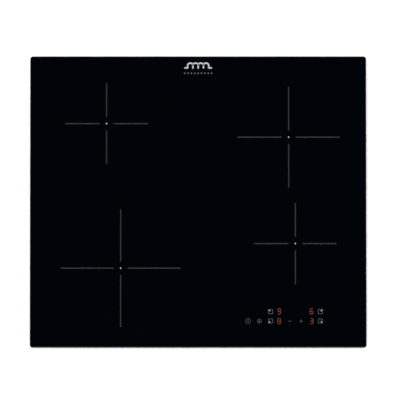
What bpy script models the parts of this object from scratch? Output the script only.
"""Built-in induction hob with four cooking zones, as the assembly that comes apart on a bench.

Frame: metres, +Z up, +Y to the rear of the hob, origin under the middle of the steel casing.
The glass rim hangs over the worktop; everything under it drops through a 560 x 490 mm cut-out.
"""

import math

import bmesh
import bpy
from mathutils import Matrix, Vector

MM = 0.001
GAP = 0.3 * MM  # clearance between pieces that rest on each other

# Driving dimensions of the whole hob
GLASS_WIDTH = 590 * MM
GLASS_DEPTH = 520 * MM
GLASS_THICKNESS = 4 * MM
GLASS_CORNER = 5 * MM
TOTAL_HEIGHT = 44 * MM
CASING_HALF_WIDTH = 273 * MM
CASING_HALF_DEPTH = 238 * MM
SHEET = 1 * MM  # steel sheet thickness

# Heights of the layers, from the surface that the hob stands on
PANEL_Z = 1.6 * MM  # underside of the casing's raised middle panel
TRAY_Z = PANEL_Z + SHEET + GAP
TRAY_FLOOR = 1.8 * MM
BOARD_Z = TRAY_Z + 3.2 * MM
DECK_Z = 25 * MM
GLASS_Z = TOTAL_HEIGHT - GLASS_THICKNESS

# Cooking zones: name, centre, former radius, winding radii
ZONES = {
    "rear_left": {"at": (-161 * MM, 140.5 * MM), "former": 70 * MM, "winding": (22 * MM, 64 * MM)},
    "rear_right": {"at": (159 * MM, 116 * MM), "former": 87 * MM, "winding": (25 * MM, 82 * MM)},
    "front_left": {"at": (-136.5 * MM, -118.5 * MM), "former": 102 * MM, "winding": (28 * MM, 97 * MM)},
    "front_right": {"at": (171 * MM, -74 * MM), "former": 70 * MM, "winding": (22 * MM, 64 * MM)},
}

# Everything that comes once under each pair of coils: x and y ranges, and the blower's centre
SIDES = {
    "left": {
        "deck": ((-262 * MM, -32 * MM), (-226 * MM, 216 * MM)),
        "tray": ((-264 * MM, -30 * MM), (-228 * MM, 218 * MM)),
        "board": ((-254 * MM, -44 * MM), (-190 * MM, 84 * MM)),
        "blower": (-160 * MM, 150 * MM),
    },
    "right": {
        "deck": ((60 * MM, 258 * MM), (-150 * MM, 206 * MM)),
        "tray": ((58 * MM, 260 * MM), (-200 * MM, 208 * MM)),
        "board": ((68 * MM, 250 * MM), (-132 * MM, 74 * MM)),
        "blower": (154 * MM, 140 * MM),
    },
}
POST_INSET = 11 * MM  # guide posts stand this far inside the deck's corners
CORNERS = {"front_left": (-1, -1), "front_right": (1, -1), "rear_left": (-1, 1), "rear_right": (1, 1)}

# Mains terminal compartment at the rear right
TERMINAL_X = (140 * MM, 240 * MM)
TERMINAL_Y = (212 * MM, 236.6 * MM)
TERMINAL_TOP = 29.4 * MM
LID_AXIS = (240 * MM, 27.4 * MM)  # y and z of the lid's hinge line
CABLE_HOLE = (156 * MM, 224 * MM)
CABLE_HOLE_RADIUS = 7.5 * MM

# Touch controls under the front right of the glass
CONTROL_X = (74 * MM, 230 * MM)
CONTROL_Y = (-223 * MM, -178 * MM)
DISPLAY_X = (142.2 * MM, 199.3 * MM)
DISPLAY_Y = (-196 * MM, -213 * MM)

# Snap-in springs on the casing's sides
CLIP_Y = 130 * MM
CLIP_Z = 7.5 * MM
CLIP_WIDTH = 20 * MM

SCREW_SPOTS = {
    "front_left": (-200 * MM, -1),
    "front_right": (200 * MM, -1),
    "rear_left": (-200 * MM, 1),
    "rear_right": (110 * MM, 1),
}
SCREW_Z = 34 * MM


# ---------------------------------------------------------------- scene and materials


def clear_scene():
    for old in list(bpy.data.objects):
        bpy.data.objects.remove(old, do_unlink=True)


def make_material(name, colour, roughness, metallic=0.0):
    material = bpy.data.materials.new(name)
    material.use_nodes = True
    shader = material.node_tree.nodes["Principled BSDF"]
    shader.inputs["Base Color"].default_value = (*colour, 1.0)
    shader.inputs["Roughness"].default_value = roughness
    shader.inputs["Metallic"].default_value = metallic
    return material


def make_materials():
    return {
        "black_glass": make_material("black_glass", (0.004, 0.005, 0.006), 0.05),
        "foam": make_material("foam", (0.03, 0.03, 0.03), 0.95),
        "black_steel": make_material("black_steel", (0.02, 0.02, 0.021), 0.45, 0.3),
        "zinc_steel": make_material("zinc_steel", (0.55, 0.57, 0.58), 0.42, 1.0),
        "label": make_material("label", (0.75, 0.76, 0.77), 0.4),
        "aluminium": make_material("aluminium", (0.72, 0.73, 0.74), 0.35, 1.0),
        "black_plastic": make_material("black_plastic", (0.018, 0.018, 0.02), 0.55),
        "grey_plastic": make_material("grey_plastic", (0.28, 0.29, 0.3), 0.5),
        "copper": make_material("copper", (0.62, 0.27, 0.12), 0.38, 1.0),
        "mica": make_material("mica", (0.62, 0.55, 0.42), 0.6),
        "silicone": make_material("silicone", (0.75, 0.74, 0.7), 0.7),
        "spring_steel": make_material("spring_steel", (0.6, 0.6, 0.62), 0.3, 1.0),
        "circuit_board": make_material("circuit_board", (0.03, 0.14, 0.07), 0.5),
        "cable": make_material("cable", (0.5, 0.5, 0.52), 0.6),
        "ivory_plastic": make_material("ivory_plastic", (0.7, 0.66, 0.55), 0.5),
    }


def place(name, mesh_source, material, location=(0, 0, 0), parent=None, smooth_angle=None):
    """An object from a bmesh, at a location, shaded smooth up to smooth_angle degrees if given."""
    bmesh.ops.recalc_face_normals(mesh_source, faces=mesh_source.faces)
    mesh = bpy.data.meshes.new(name)
    mesh_source.to_mesh(mesh)
    mesh_source.free()
    if smooth_angle is not None:
        mesh.shade_smooth()
        mesh.set_sharp_from_angle(angle=math.radians(smooth_angle))
    if material is not None:
        mesh.materials.append(material)
    thing = bpy.data.objects.new(name, mesh)
    bpy.context.scene.collection.objects.link(thing)
    thing.location = location
    thing.parent = parent
    return thing


def make_empty(name, location, parent=None):
    empty = bpy.data.objects.new(name, None)
    empty.location = location
    empty.parent = parent
    bpy.context.scene.collection.objects.link(empty)
    return empty


# ---------------------------------------------------------------- shapes


def rounded_rectangle(half_x, half_y, radius, steps=4):
    """Points counterclockwise round a rectangle whose corners are arcs."""
    points = []
    for quarter, (side_x, side_y) in enumerate(((1, 1), (-1, 1), (-1, -1), (1, -1))):
        middle_x, middle_y = side_x * (half_x - radius), side_y * (half_y - radius)
        for step in range(steps + 1):
            angle = math.radians(90) * (quarter + step / steps)
            points.append((middle_x + radius * math.cos(angle), middle_y + radius * math.sin(angle)))
    return points


def circle(radius, steps, middle=(0, 0)):
    turn = 2 * math.pi / steps
    return [
        (middle[0] + radius * math.cos(turn * step), middle[1] + radius * math.sin(turn * step))
        for step in range(steps)
    ]


def skin(loops, ring=False):
    """Bridges closed loops of points in order. A ring joins its last loop to its first; the rest get end caps."""
    shape = bmesh.new()
    rows = [[shape.verts.new(point) for point in loop] for loop in loops]
    pairs = list(zip(rows, rows[1:] + rows[:1])) if ring else list(zip(rows, rows[1:]))
    for lower, upper in pairs:
        for i in range(len(lower)):
            j = (i + 1) % len(lower)
            shape.faces.new((lower[i], lower[j], upper[j], upper[i]))
    if not ring:
        shape.faces.new(reversed(rows[0]))
        shape.faces.new(rows[-1])
    return shape


def rectangle_loops(half_x, half_y, radius, section, steps=4):
    """One loop for each (inset, height) of the section, drawn inwards from the given rectangle."""
    loops = []
    for inset, height in section:
        corner = max(radius - inset, 0.8 * MM)
        outline = rounded_rectangle(half_x - inset, half_y - inset, corner, steps)
        loops.append([(x, y, height) for x, y in outline])
    return loops


def prism(outline, bottom, top):
    """The (x, y) outline extruded from bottom to top."""
    shape = bmesh.new()
    face = shape.faces.new([shape.verts.new((x, y, bottom)) for x, y in outline])
    raised = bmesh.ops.extrude_face_region(shape, geom=[face])["geom"]
    lifted = [item for item in raised if isinstance(item, bmesh.types.BMVert)]
    bmesh.ops.translate(shape, verts=lifted, vec=(0, 0, top - bottom))
    return shape


def turned(profile, steps):
    """A solid of revolution about Z from a (radius, height) profile, closed unless it starts on the axis."""
    shape = bmesh.new()
    ring = [shape.verts.new((radius, 0, height)) for radius, height in profile]
    last = len(ring) - 1 if profile[0][0] == 0 else len(ring)
    edges = [shape.edges.new((ring[i], ring[(i + 1) % len(ring)])) for i in range(last)]
    bmesh.ops.spin(
        shape, geom=ring + edges, cent=(0, 0, 0), axis=(0, 0, 1), angle=2 * math.pi, steps=steps,
        use_merge=True,
    )
    bmesh.ops.remove_doubles(shape, verts=shape.verts, dist=0.001 * MM)
    return shape


def tube(inner, outer, bottom, top, steps):
    return turned([(inner, bottom), (outer, bottom), (outer, top), (inner, top)], steps)


def add_box(shape, x, y, z):
    """Adds a box between the (low, high) pairs x, y and z."""
    size = Vector((x[1] - x[0], y[1] - y[0], z[1] - z[0]))
    middle = Vector((x[0] + x[1], y[0] + y[1], z[0] + z[1])) / 2
    bmesh.ops.create_cube(shape, size=1, matrix=Matrix.Translation(middle) @ Matrix.Diagonal((*size, 1)))


def add_cylinder(shape, x, y, bottom, top, radius, steps=12, turn=None):
    """Adds an upright cylinder, or one laid over by the turn matrix."""
    at = Matrix.Translation((x, y, (bottom + top) / 2))
    bmesh.ops.create_cone(
        shape,
        cap_ends=True,
        segments=steps,
        radius1=radius,
        radius2=radius,
        depth=top - bottom,
        matrix=(turn @ at) if turn else at,
    )


def boxes(ranges):
    shape = bmesh.new()
    for x, y, z in ranges:
        add_box(shape, x, y, z)
    return shape


def strip_outline(path, thickness):
    """The outline of a bent strip: the path of (a, b) points, moved half a thickness to each side."""
    sides = ([], [])
    for i, here in enumerate(path):
        before = Vector(path[max(i - 1, 0)])
        after = Vector(path[min(i + 1, len(path) - 1)])
        here = Vector(here)
        into = (here - before).normalized() if i else (after - here).normalized()
        out = (after - here).normalized() if i < len(path) - 1 else into
        mitre = Vector((-(into.y + out.y), into.x + out.x)).normalized()
        reach = thickness / 2 / max(mitre.dot(Vector((-into.y, into.x))), 0.3)
        sides[0].append(here + mitre * reach)
        sides[1].append(here - mitre * reach)
    return [tuple(point) for point in sides[0] + sides[1][::-1]]


def along_y(outline, low, high):
    """An (x, z) outline extruded along Y."""
    shape = prism(outline, 0, high - low)
    spin = Matrix(((1, 0, 0, 0), (0, 0, 1, low), (0, 1, 0, 0), (0, 0, 0, 1)))
    bmesh.ops.transform(shape, matrix=spin, verts=shape.verts)
    return shape


def helper(name, shape, location=(0, 0, 0), parent=None):
    """A cutter or an addend for a Boolean, which isn't part of the hob."""
    guide = place(name, shape, None, location, parent)
    guide.hide_render = True
    guide.display_type = "WIRE"
    return guide


def combine(thing, other, operation):
    modifier = thing.modifiers.new(other.name, "BOOLEAN")
    modifier.operation = operation
    modifier.solver = "EXACT"
    modifier.object = other


def cut(thing, shape, location=(0, 0, 0), parent=None):
    combine(thing, helper(thing.name + "_cutter", shape, location, parent), "DIFFERENCE")


def join(thing, shape, location=(0, 0, 0), parent=None):
    combine(thing, helper(thing.name + "_addition", shape, location, parent), "UNION")


# ---------------------------------------------------------------- top: glass, seal, frame


def build_glass(materials):
    section = [(0.6 * MM, 0), (0, 0.6 * MM), (0, 2.6 * MM), (1.4 * MM, GLASS_THICKNESS)]
    loops = rectangle_loops(GLASS_WIDTH / 2, GLASS_DEPTH / 2, GLASS_CORNER, section, steps=8)
    place("glass_plate", skin(loops), materials["black_glass"], (0, 0, GLASS_Z))


def build_seal(materials):
    bottom, top, width = 37.7 * MM, GLASS_Z - GAP, 8 * MM
    section = [(0, bottom), (0, top), (width, top), (width, bottom)]
    half_x, half_y = GLASS_WIDTH / 2 - 3 * MM, GLASS_DEPTH / 2 - 3 * MM
    place("foam_seal", skin(rectangle_loops(half_x, half_y, 9 * MM, section), ring=True), materials["foam"])


def screw_holes(radius):
    """Holes through the front and rear walls at the casing screws."""
    shape = bmesh.new()
    along_y_axis = Matrix.Rotation(math.radians(90), 4, "X")
    for x, side in SCREW_SPOTS.values():
        lay_over = Matrix.Translation((x, side * CASING_HALF_DEPTH, SCREW_Z)) @ along_y_axis
        add_cylinder(shape, 0, 0, -6 * MM, 6 * MM, radius, 8, lay_over)
    return shape


def build_support_frame(materials):
    """Steel angle bonded under the glass; its skirt hangs round the casing."""
    clear, flange = 0.4 * MM, 18 * MM
    half_x, half_y = CASING_HALF_WIDTH + clear + SHEET, CASING_HALF_DEPTH + clear + SHEET
    low, high = 30 * MM, GLASS_Z - GAP
    under = high - SHEET
    section = [(0, low), (0, high), (flange, high), (flange, under), (SHEET, under), (SHEET, low)]
    ring = skin(rectangle_loops(half_x, half_y, 7 * MM, section, 6), ring=True)
    frame = place("support_frame", ring, materials["black_steel"])
    cut(frame, screw_holes(2 * MM))


# ---------------------------------------------------------------- bottom casing


def grille_slots(middle, radius):
    """Parallel slots that fill a circle, with a bar across their middle."""
    width, pitch, bar, rows = 3.4 * MM, 7 * MM, 2.5 * MM, 4
    found = []
    for row in range(-rows, rows + 1):
        offset = row * pitch
        reach = math.sqrt(radius**2 - offset**2)
        y = (middle[1] + offset - width / 2, middle[1] + offset + width / 2)
        found.append(((middle[0] + bar, middle[0] + reach), y))
        found.append(((middle[0] - reach, middle[0] - bar), y))
    return found


def slot_row(first, last, count, length):
    """(low, high) ranges of evenly spaced slots between first and last."""
    step = (last - first) / (count - 1)
    return [(first + step * i - length / 2, first + step * i + length / 2) for i in range(count)]


def casing_cutters():
    through_floor = (-2 * MM, PANEL_Z + 3 * MM)
    wall = 4 * MM
    slot = 3.4 * MM
    found = []
    for side in SIDES.values():
        found += [(x, y, through_floor) for x, y in grille_slots(side["blower"], 33 * MM)]
    front_floor = (-210 * MM, -182 * MM)
    found += [(x, front_floor, through_floor) for x in slot_row(-236 * MM, 236 * MM, 16, slot)]
    front = (-CASING_HALF_DEPTH - wall, -CASING_HALF_DEPTH + wall)
    found += [(x, front, (14 * MM, 14 * MM + slot)) for x in slot_row(-225 * MM, 225 * MM, 12, 26 * MM)]
    rear = (CASING_HALF_DEPTH - wall, CASING_HALF_DEPTH + wall)
    found += [(x, rear, (14 * MM, 14 * MM + slot)) for x in slot_row(-225 * MM, 95 * MM, 8, 26 * MM)]
    for side in (-1, 1):
        x = sorted((side * (CASING_HALF_WIDTH - wall), side * (CASING_HALF_WIDTH + wall)))
        found += [(x, y, (14 * MM, 14 * MM + slot)) for y in slot_row(-60 * MM, 60 * MM, 4, 26 * MM)]
        for y in (-CLIP_Y, CLIP_Y):
            half = CLIP_WIDTH / 2 + 0.6 * MM
            found.append((x, (y - half, y + half), (CLIP_Z - 2 * MM, CLIP_Z + 2 * MM)))
    opening_x = (TERMINAL_X[0] + 0.4 * MM, TERMINAL_X[1] - 0.4 * MM)
    found.append((opening_x, rear, (4.4 * MM, TERMINAL_TOP + GAP)))
    return boxes(found)


def cable_notch():
    """Cut from the terminal opening down through the bottom edge, where the mains cable enters from below."""
    y = (TERMINAL_Y[0] + 2 * MM, CASING_HALF_DEPTH + 4 * MM)
    return boxes([((CABLE_HOLE[0] - 14 * MM, CABLE_HOLE[0] + 14 * MM), y, (-2 * MM, 8 * MM))])


def build_casing(materials):
    """Pressed steel tray: a low band round the edge carries the hob, and the middle panel is raised."""
    top, band, step = 37.5 * MM, 18 * MM, 2.4 * MM
    section = [
        (band + step, PANEL_Z),
        (band, 0),
        (2.4 * MM, 0),
        (0.7 * MM, 0.7 * MM),
        (0, 2.4 * MM),
        (0, top),
        (SHEET, top),
        (SHEET, 2.8 * MM),
        (1.6 * MM, 1.6 * MM),
        (2.8 * MM, SHEET),
        (band - 0.6 * MM, SHEET),
        (band + step - 0.6 * MM, PANEL_Z + SHEET),
    ]
    loops = rectangle_loops(CASING_HALF_WIDTH, CASING_HALF_DEPTH, 6 * MM, section, steps=6)
    casing = place("bottom_casing", skin(loops), materials["zinc_steel"])
    cut(casing, casing_cutters())
    cut(casing, cable_notch())
    cut(casing, screw_holes(2 * MM))


def build_rating_plate(materials):
    """Blank foil plate stuck under the raised panel."""
    bottom, top = PANEL_Z - 0.6 * MM, PANEL_Z - GAP
    outline = rounded_rectangle(42 * MM, 24 * MM, 3 * MM, 2)
    place("rating_plate", prism(outline, bottom, top), materials["label"], (0, -40 * MM, 0))


def build_casing_screws(materials):
    """Pan-head screws through the skirt into the casing wall."""
    profile = [(0, -5 * MM), (1.4 * MM, -5 * MM), (1.6 * MM, -4.4 * MM), (1.6 * MM, 0), (3.4 * MM, 0),
               (3.2 * MM, 1.2 * MM), (2 * MM, 2.1 * MM), (0, 2.3 * MM)]
    seat = CASING_HALF_DEPTH + 1.4 * MM + GAP
    for corner, (x, side) in SCREW_SPOTS.items():
        screw = place(
            f"casing_screw_{corner}", turned(profile, 10), materials["zinc_steel"],
            (x, side * seat, SCREW_Z), smooth_angle=35,
        )
        screw.rotation_euler = (math.radians(-90 * side), 0, 0)


# ---------------------------------------------------------------- coils


def post_spots(side):
    (x0, x1), (y0, y1) = SIDES[side]["deck"]
    middle = ((x0 + x1) / 2, (y0 + y1) / 2)
    reach = ((x1 - x0) / 2 - POST_INSET, (y1 - y0) / 2 - POST_INSET)
    return {
        corner: (middle[0] + sx * reach[0], middle[1] + sy * reach[1]) for corner, (sx, sy) in CORNERS.items()
    }


def build_deck(side, materials):
    """Aluminium plate with folded edges that carries two coils and slides on the four guide posts."""
    (x0, x1), (y0, y1) = SIDES[side]["deck"]
    middle = ((x0 + x1) / 2, (y0 + y1) / 2)
    sheet, fold = 1.2 * MM, 5 * MM
    section = [
        (sheet + 1 * MM, 0),
        (sheet, -1 * MM),
        (sheet, -fold),
        (0, -fold),
        (0, 0),
        (1.2 * MM, sheet),
    ]
    assembly = make_empty(f"coil_deck_{side}_slide", (*middle, DECK_Z))
    loops = rectangle_loops((x1 - x0) / 2, (y1 - y0) / 2, 5 * MM, section, steps=2)
    deck = place(f"coil_deck_{side}", skin(loops), materials["aluminium"], parent=assembly)
    holes = bmesh.new()
    for x, y in post_spots(side).values():
        add_cylinder(holes, x - middle[0], y - middle[1], -3 * MM, 3 * MM, 3 * MM, 10)
    for zone, facts in ZONES.items():
        if zone.endswith(side):
            x, y = facts["at"][0] - middle[0], facts["at"][1] - middle[1]
            add_cylinder(holes, x, y, -3 * MM, 3 * MM, 12 * MM, 16)
    cut(deck, holes, parent=assembly)
    return assembly


def build_former(zone, radius, materials, parent, location):
    """Plastic carrier: a disc over eight ribs, which leave pockets for the ferrite bars."""
    low, disc, top = 1.5 * MM, 7.3 * MM, 8.8 * MM
    profile = [(4.6 * MM, disc), (13 * MM, disc), (13 * MM, low), (16 * MM, low), (16 * MM, disc),
               (radius - 3 * MM, disc), (radius - 3 * MM, low), (radius, low), (radius, top), (4.6 * MM, top)]
    former = place(
        f"coil_former_{zone}", turned(profile, 32), materials["black_plastic"], location, parent,
        smooth_angle=35,
    )
    ribs = bmesh.new()
    for arm in range(8):
        angle = Matrix.Rotation(math.radians(22.5 + 45 * arm), 4, "Z")
        reach = (14.5 * MM, radius - 1.5 * MM)
        middle = Vector(((reach[0] + reach[1]) / 2, 0, (low + 0.4 * MM + disc + 0.5 * MM) / 2))
        size = (reach[1] - reach[0], 2 * MM, disc - low + 0.1 * MM)
        bmesh.ops.create_cube(
            ribs, size=1, matrix=angle @ Matrix.Translation(middle) @ Matrix.Diagonal((*size, 1))
        )
    join(former, ribs, location, parent)


def build_coil(zone, facts, materials, assembly):
    """Former, pancake winding, mica disc and temperature sensor of one zone, stacked on its deck."""
    x, y = facts["at"][0] - assembly.location.x, facts["at"][1] - assembly.location.y
    build_former(zone, facts["former"], materials, assembly, (x, y, 0))
    winding = tube(*facts["winding"], 9.1 * MM, 12.8 * MM, 32)
    place(f"coil_winding_{zone}", winding, materials["copper"], (x, y, 0), assembly, smooth_angle=35)
    mica = tube(9 * MM, facts["former"] - 1 * MM, 13.1 * MM, 13.6 * MM, 32)
    place(f"mica_disc_{zone}", mica, materials["mica"], (x, y, 0), assembly, smooth_angle=35)
    profile = [(0, 4 * MM), (3.4 * MM, 4 * MM), (3.4 * MM, 9.1 * MM), (12 * MM, 9.1 * MM), (12 * MM, 10.3 * MM),
               (6 * MM, 10.3 * MM), (6 * MM, 13.6 * MM), (5.2 * MM, 14.6 * MM), (0, 14.6 * MM)]
    sensor = turned(profile, 16)
    place(f"temperature_sensor_{zone}", sensor, materials["silicone"], (x, y, 0), assembly, smooth_angle=35)


def build_deck_springs(side, materials):
    """Compression springs round the guide posts, pressing the deck up to the glass."""
    low, high, radius, wire = 12.8 * MM, DECK_Z - 0.8 * MM, 3.9 * MM, 0.5 * MM
    turns, per_turn = 3.5, 10
    count = int(turns * per_turn)
    for corner, (x, y) in post_spots(side).items():
        name = f"deck_spring_{side}_{corner}"
        data = bpy.data.curves.new(name, "CURVE")
        data.dimensions = "3D"
        data.bevel_depth = wire
        data.bevel_resolution = 0
        data.use_fill_caps = True
        line = data.splines.new("POLY")
        line.points.add(count)
        for i, point in enumerate(line.points):
            angle = 2 * math.pi * i / per_turn
            point.co = (radius * math.cos(angle), radius * math.sin(angle), (high - low) * i / count, 1)
        data.materials.append(materials["spring_steel"])
        spring = bpy.data.objects.new(name, data)
        spring.location = (x, y, low)
        bpy.context.scene.collection.objects.link(spring)


# ---------------------------------------------------------------- power electronics


def build_tray(side, materials):
    """Plastic tray that carries the electronics; its four posts seat the springs and guide the deck."""
    (x0, x1), (y0, y1) = SIDES[side]["tray"]
    middle = ((x0 + x1) / 2, (y0 + y1) / 2)
    rim = 6 * MM
    section = [(2 * MM, TRAY_Z), (0, TRAY_Z + 2 * MM), (0, TRAY_Z + rim), (1.8 * MM, TRAY_Z + rim),
               (1.8 * MM, TRAY_Z + TRAY_FLOOR)]
    loops = rectangle_loops((x1 - x0) / 2, (y1 - y0) / 2, 6 * MM, section, steps=2)
    tray = place(f"power_tray_{side}", skin(loops), materials["black_plastic"], (*middle, 0))
    post = [(0, TRAY_Z + 1 * MM), (6 * MM, TRAY_Z + 1 * MM), (5.4 * MM, 12 * MM), (2.4 * MM, 12 * MM),
            (2.2 * MM, 30 * MM), (1.6 * MM, 31 * MM), (0, 31 * MM)]
    posts = bmesh.new()
    for x, y in post_spots(side).values():
        one = turned(post, 10)
        bmesh.ops.translate(one, verts=one.verts, vec=(x, y, 0))
        spare = bpy.data.meshes.new("post")
        one.to_mesh(spare)
        one.free()
        posts.from_mesh(spare)
        bpy.data.meshes.remove(spare)
    join(tray, posts)
    (bx0, bx1), (by0, by1) = SIDES[side]["board"]
    pads = bmesh.new()
    for x in (bx0 + 5 * MM, bx1 - 5 * MM):
        for y in (by0 + 5 * MM, by1 - 5 * MM):
            add_cylinder(pads, x, y, TRAY_Z + 1 * MM, BOARD_Z - GAP, 3.5 * MM, 8)
    join(tray, pads)
    inlet = bmesh.new()
    add_cylinder(inlet, *SIDES[side]["blower"], -2 * MM, TRAY_Z + 3 * MM, 35 * MM, 24)
    cut(tray, inlet)


def component_ranges(side):
    """Boxes of the parts soldered to a power board: capacitors, relays, transformer, connectors."""
    (x0, x1), (y0, y1) = SIDES[side]["board"]
    low = BOARD_Z + 1 * MM
    found = []
    for i in range(3):
        y = y0 + (14 + 44 * i) * MM
        found.append(((x0 + 6 * MM, x0 + 30 * MM), (y, y + 16 * MM), (low, low + 12 * MM)))
        found.append(((x1 - 34 * MM, x1 - 16 * MM), (y + 6 * MM, y + 30 * MM), (low, low + 11 * MM)))
    found.append(((x0 + 50 * MM, x0 + 82 * MM), (y0 + 8 * MM, y0 + 36 * MM), (low, low + 13 * MM)))
    found.append(((x0 + 96 * MM, x0 + 130 * MM), (y0 + 6 * MM, y0 + 14 * MM), (low, low + 8 * MM)))
    return found


def heat_sink_x(side):
    """The heat sink stands in front of the blower's outlet, which is left of the blower's centre."""
    middle = SIDES[side]["blower"][0] - 29 * MM
    return middle - 23 * MM, middle + 23 * MM


def build_power_board(side, materials):
    """Circuit board with its soldered components as one piece, and the finned heat sink on it."""
    (x0, x1), (y0, y1) = SIDES[side]["board"]
    board = place(
        f"power_board_{side}", boxes([((x0, x1), (y0, y1), (BOARD_Z, BOARD_Z + 1.6 * MM))]),
        materials["circuit_board"],
    )
    join(board, boxes(component_ranges(side)))
    fins, base, top = 9, BOARD_Z + 1.9 * MM, 20.6 * MM
    left, right = heat_sink_x(side)
    step = (right - left) / (2 * fins - 1)
    outline = [(left, base), (right, base)]
    for fin in reversed(range(fins)):
        low, high = left + 2 * fin * step, left + (2 * fin + 1) * step
        outline += [(high, base + 3 * MM), (high, top), (low, top), (low, base + 3 * MM)]
    outline = [outline[0], outline[1], *outline[3:-1]]
    place(f"heat_sink_{side}", along_y(outline, y1 - 96 * MM, y1 - 4 * MM), materials["aluminium"])


def scroll_outline(offset):
    """A blower's scroll seen from above, blowing to -Y: a spiral from the tongue to the outlet's outer wall."""
    tongue, small, large, mouth = 250, 33 * MM, 47 * MM, -48 * MM
    steps = 20
    points = [(small * math.cos(math.radians(tongue)) + offset, mouth)]
    for step in range(steps + 1):
        angle = math.radians(tongue + 290 * step / steps)
        reach = small + (large - small) * step / steps + offset
        points.append((reach * math.cos(angle), reach * math.sin(angle)))
    points.append((-large - offset, mouth))
    return points


def build_blower(side, materials):
    """Radial blower: scroll housing, fixed stator, and the rotor on its own axis empty."""
    x, y = SIDES[side]["blower"]
    low, high, wall = TRAY_Z + TRAY_FLOOR + GAP, 21.4 * MM, 1.4 * MM
    body = scroll_outline(wall)
    housing = place(f"blower_housing_{side}", prism(body, low, high), materials["black_plastic"], (x, y, 0))
    inside = scroll_outline(0)
    inside[0] = (inside[0][0], inside[0][1] - 4 * MM)
    inside[-1] = (inside[-1][0], inside[-1][1] - 4 * MM)
    cut(housing, prism(inside, low + wall, high - wall), (x, y, 0))
    inlet = bmesh.new()
    add_cylinder(inlet, 0, 0, low - 2 * MM, low + 3 * MM, 25 * MM, 24)
    cut(housing, inlet, (x, y, 0))
    stator = tube(1.9 * MM, 11 * MM, 10.4 * MM, high - wall - GAP, 20)
    place(f"blower_stator_{side}", stator, materials["copper"], (x, y, 0), smooth_angle=35)
    axis = make_empty(f"blower_{side}_spin", (x, y, 0))
    profile = [(0, 8 * MM), (13.2 * MM, 8 * MM), (13.2 * MM, 17 * MM), (30 * MM, 17 * MM),
               (30 * MM, 18 * MM), (12 * MM, 18 * MM), (12 * MM, 9.4 * MM), (1.5 * MM, 9.4 * MM),
               (1.5 * MM, 18.6 * MM), (0, 18.6 * MM)]
    rotor = place(f"blower_rotor_{side}", turned(profile, 24), materials["black_plastic"], (0, 0, 0), axis)
    join(rotor, rotor_blades(15), parent=axis)
    join(rotor, tube(27.2 * MM, 30.4 * MM, 7 * MM, 8.2 * MM, 24), parent=axis)


def rotor_blades(blades):
    """Forward-curved blades under the rotor's back plate; a ring ties their free ends."""
    shape = bmesh.new()
    for blade in range(blades):
        spin = Matrix.Rotation(2 * math.pi * (blade + 0.5) / blades, 4, "Z")
        lean = Matrix.Translation((25.6 * MM, 0, 12.5 * MM)) @ Matrix.Rotation(math.radians(32), 4, "Z")
        size = Matrix.Diagonal((8.4 * MM, 0.9 * MM, 10 * MM, 1))
        bmesh.ops.create_cube(shape, size=1, matrix=spin @ lean @ size)
    return shape


def build_filter(materials):
    """Mains filter board between the two trays, with its toroidal choke."""
    x, y = (-22 * MM, 50 * MM), (60 * MM, 200 * MM)
    board = place(
        "filter_board", boxes([(x, y, (BOARD_Z, BOARD_Z + 1.6 * MM))]), materials["circuit_board"]
    )
    low = BOARD_Z + 1 * MM
    parts = [((-14 * MM, 12 * MM), (74 * MM, 90 * MM), (low, low + 16 * MM)),
             ((-14 * MM, 12 * MM), (98 * MM, 114 * MM), (low, low + 16 * MM)),
             ((22 * MM, 44 * MM), (78 * MM, 108 * MM), (low, low + 12 * MM)),
             ((-6 * MM, 40 * MM), (184 * MM, 194 * MM), (low, low + 10 * MM))]
    join(board, boxes(parts))
    feet = bmesh.new()
    for foot_x in (x[0] + 4 * MM, x[1] - 4 * MM):
        for foot_y in (y[0] + 4 * MM, y[1] - 4 * MM):
            add_cylinder(feet, foot_x, foot_y, TRAY_Z, BOARD_Z + 1 * MM, 2.4 * MM, 8)
    join(board, feet)
    section = [(14 * MM + 5.5 * MM * math.cos(a), 5.5 * MM * math.sin(a))
               for a in (2 * math.pi * i / 8 for i in range(8))]
    choke = turned(section, 18)
    at = (14 * MM, 150 * MM, BOARD_Z + 8.2 * MM)
    place("filter_choke", choke, materials["copper"], at, smooth_angle=50)


# ---------------------------------------------------------------- touch controls


def build_controls(materials):
    """Carrier under the glass, the display board with four digits, and its flat cable."""
    x, y = CONTROL_X, CONTROL_Y
    middle = ((x[0] + x[1]) / 2, (y[0] + y[1]) / 2)
    section = [(2 * MM, 28 * MM), (0, 30 * MM), (0, 38.4 * MM), (1.8 * MM, 38.4 * MM),
               (1.8 * MM, 30.4 * MM)]
    loops = rectangle_loops((x[1] - x[0]) / 2, (y[1] - y[0]) / 2, 4 * MM, section, steps=2)
    housing = place("control_housing", skin(loops), materials["grey_plastic"], (*middle, 0))
    cable_slot = ((x[0] + 20 * MM, x[0] + 38 * MM), (y[1] - 4 * MM, y[1] + 2 * MM), (31 * MM, 34 * MM))
    cut(housing, boxes([cable_slot]))
    leg_y, leg_z = (y[0] + 5 * MM, y[0] + 12 * MM), (TRAY_Z, 29 * MM)
    for at in (x[0] + 10 * MM, x[1] - 10 * MM):
        join(housing, boxes([((at - 4 * MM, at + 4 * MM), leg_y, leg_z)]))
    board_x, board_y = (x[0] + 2.8 * MM, x[1] - 2.8 * MM), (y[0] + 2.8 * MM, y[1] - 2.8 * MM)
    board = place(
        "control_board", boxes([(board_x, board_y, (34.4 * MM, 36 * MM))]), materials["circuit_board"]
    )
    digits = [((dx - 6 * MM, dx + 6 * MM), (dy - 7.5 * MM, dy + 7.5 * MM), (35.4 * MM, 39.3 * MM))
              for dx in DISPLAY_X for dy in DISPLAY_Y]
    join(board, boxes(digits))


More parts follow.
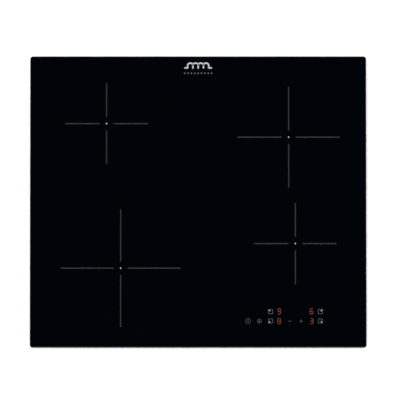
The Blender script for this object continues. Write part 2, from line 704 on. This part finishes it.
def build_ribbon(materials):
    """Flat cable from the control board down to the right power board."""
    x = (CONTROL_X[0] + 22 * MM, CONTROL_X[0] + 36 * MM)
    path = [(-186 * MM, 32.4 * MM), (-174 * MM, 32.4 * MM), (-169 * MM, 29 * MM), (-166 * MM, 14 * MM),
            (-161 * MM, 10.6 * MM), (-134 * MM, 10.6 * MM)]
    shape = prism(strip_outline(path, 0.8 * MM), x[0], x[1])
    turn = Matrix(((0, 0, 1, 0), (1, 0, 0, 0), (0, 1, 0, 0), (0, 0, 0, 1)))
    bmesh.ops.transform(shape, matrix=turn, verts=shape.verts)
    place("display_ribbon_cable", shape, materials["cable"])


# ---------------------------------------------------------------- mains terminals


def build_terminal_box(materials):
    """Plastic box behind the opening in the casing's rear wall, with ears for the lid's pins."""
    x, y, wall = TERMINAL_X, TERMINAL_Y, 1.8 * MM
    floor = TRAY_Z + 0.5 * MM
    box = place("terminal_box", boxes([(x, y, (floor, TERMINAL_TOP))]), materials["ivory_plastic"])
    inside = ((x[0] + wall, x[1] - wall), (y[0] + wall, y[1] + 5 * MM), (floor + wall, TERMINAL_TOP - wall))
    cut(box, boxes([inside]))
    ear_y, ear_z = (y[1] - 3 * MM, LID_AXIS[0] + 2.2 * MM), (LID_AXIS[1] - 2.2 * MM, LID_AXIS[1] + 1.6 * MM)
    ears = [((middle - 0.8 * MM, middle + 0.8 * MM), ear_y, ear_z)
            for middle in (x[0] + 1.6 * MM, x[1] - 1.6 * MM)]
    join(box, boxes(ears))
    holes = bmesh.new()
    lay = Matrix.Translation(((x[0] + x[1]) / 2, *LID_AXIS)) @ Matrix.Rotation(math.radians(90), 4, "Y")
    add_cylinder(holes, 0, 0, -60 * MM, 60 * MM, 1.2 * MM, 12, lay)
    add_cylinder(holes, *CABLE_HOLE, -2 * MM, 8 * MM, CABLE_HOLE_RADIUS, 16)
    cut(box, holes)


def build_terminal_lid(materials):
    """Lid on the rear wall, hanging from two pins; it swings up and out."""
    width = TERMINAL_X[1] - TERMINAL_X[0] - 6 * MM
    axis = make_empty("terminal_lid_hinge", ((TERMINAL_X[0] + TERMINAL_X[1]) / 2, *LID_AXIS))
    plate = [((-width / 2, width / 2), (-1.1 * MM, 0.7 * MM), (-24.2 * MM, -0.3 * MM))]
    lid = place("terminal_lid", boxes(plate), materials["ivory_plastic"], parent=axis)
    for reach, radius in ((width / 2 - 0.3 * MM, 1.4 * MM), (width / 2 + 2.2 * MM, 0.8 * MM)):
        barrel = bmesh.new()
        add_cylinder(barrel, 0, 0, -reach, reach, radius, 12, Matrix.Rotation(math.radians(90), 4, "Y"))
        join(lid, barrel, parent=axis)
    ribs = [((x - 0.8 * MM, x + 0.8 * MM), (0.2 * MM, 1.5 * MM), (-20 * MM, -4 * MM))
            for x in (-28 * MM, 0, 28 * MM)]
    grip = ((-8 * MM, 8 * MM), (0.2 * MM, 2.2 * MM), (-23.4 * MM, -21.4 * MM))
    join(lid, boxes([*ribs, grip]), parent=axis)


def build_terminal_block(materials):
    """Five-way screw terminal block and the bar that clamps the mains cable."""
    x0, width, pitch = 178 * MM, 56 * MM, 10.6 * MM
    y = (TERMINAL_Y[0] + 2.1 * MM, TERMINAL_Y[0] + 16 * MM)
    low = TRAY_Z + 2.6 * MM
    body = boxes([((x0, x0 + width), y, (low, low + 17 * MM))])
    block = place("terminal_block", body, materials["grey_plastic"])
    wells = []
    for way in range(5):
        x = (x0 + 3 * MM + way * pitch, x0 + 3 * MM + way * pitch + 7.4 * MM)
        wells.append((x, (y[1] - 5 * MM, y[1] + 2 * MM), (low + 8.5 * MM, low + 15 * MM)))
        wells.append((x, (y[1] - 9 * MM, y[1] + 2 * MM), (low + 2 * MM, low + 7 * MM)))
    cut(block, boxes(wells))
    clamp_y = (TERMINAL_Y[0] + 2.1 * MM, TERMINAL_Y[0] + 4.5 * MM)
    clamp = boxes([((144 * MM, 170 * MM), clamp_y, (15 * MM, 22 * MM))])
    bar = place("cable_clamp", clamp, materials["grey_plastic"])
    bosses = bmesh.new()
    turn = Matrix.Rotation(math.radians(90), 4, "X")
    for x in (147.4 * MM, 166.6 * MM):
        lay = Matrix.Translation((x, TERMINAL_Y[0] + 6 * MM, 18.5 * MM)) @ turn
        add_cylinder(bosses, 0, 0, -2.4 * MM, 2.4 * MM, 2.8 * MM, 10, lay)
    join(bar, bosses)


# ---------------------------------------------------------------- snap-in springs


def build_fixing_springs(materials):
    """Bent strips hooked through slots in the side walls, on empties at their pivot lines."""
    path = [(3.2 * MM, -3 * MM), (2.6 * MM, -0.6 * MM), (1.8 * MM, 0), (-1.2 * MM, 0), (-2.2 * MM, 0.9 * MM),
            (-11.2 * MM, 17.2 * MM), (-11.2 * MM, 19.6 * MM), (-9.4 * MM, 21.6 * MM)]
    for side, sign in (("left", 1), ("right", -1)):
        for end, y in (("front", -CLIP_Y), ("rear", CLIP_Y)):
            pivot = (-sign * (CASING_HALF_WIDTH - SHEET / 2), y, CLIP_Z)
            axis = make_empty(f"fixing_spring_{side}_{end}_flex", pivot)
            outline = strip_outline([(sign * a, b) for a, b in path], 0.8 * MM)
            shape = along_y(outline, -CLIP_WIDTH / 2, CLIP_WIDTH / 2)
            place(f"fixing_spring_{side}_{end}", shape, materials["spring_steel"], parent=axis)


def main():
    clear_scene()
    materials = make_materials()
    build_glass(materials)
    build_seal(materials)
    build_support_frame(materials)
    build_casing(materials)
    build_rating_plate(materials)
    build_casing_screws(materials)
    for side in SIDES:
        assembly = build_deck(side, materials)
        for zone, facts in ZONES.items():
            if zone.endswith(side):
                build_coil(zone, facts, materials, assembly)
        build_deck_springs(side, materials)
        build_tray(side, materials)
        build_power_board(side, materials)
        build_blower(side, materials)
    build_filter(materials)
    build_controls(materials)
    build_ribbon(materials)
    build_terminal_box(materials)
    build_terminal_lid(materials)
    build_terminal_block(materials)
    build_fixing_springs(materials)


main()
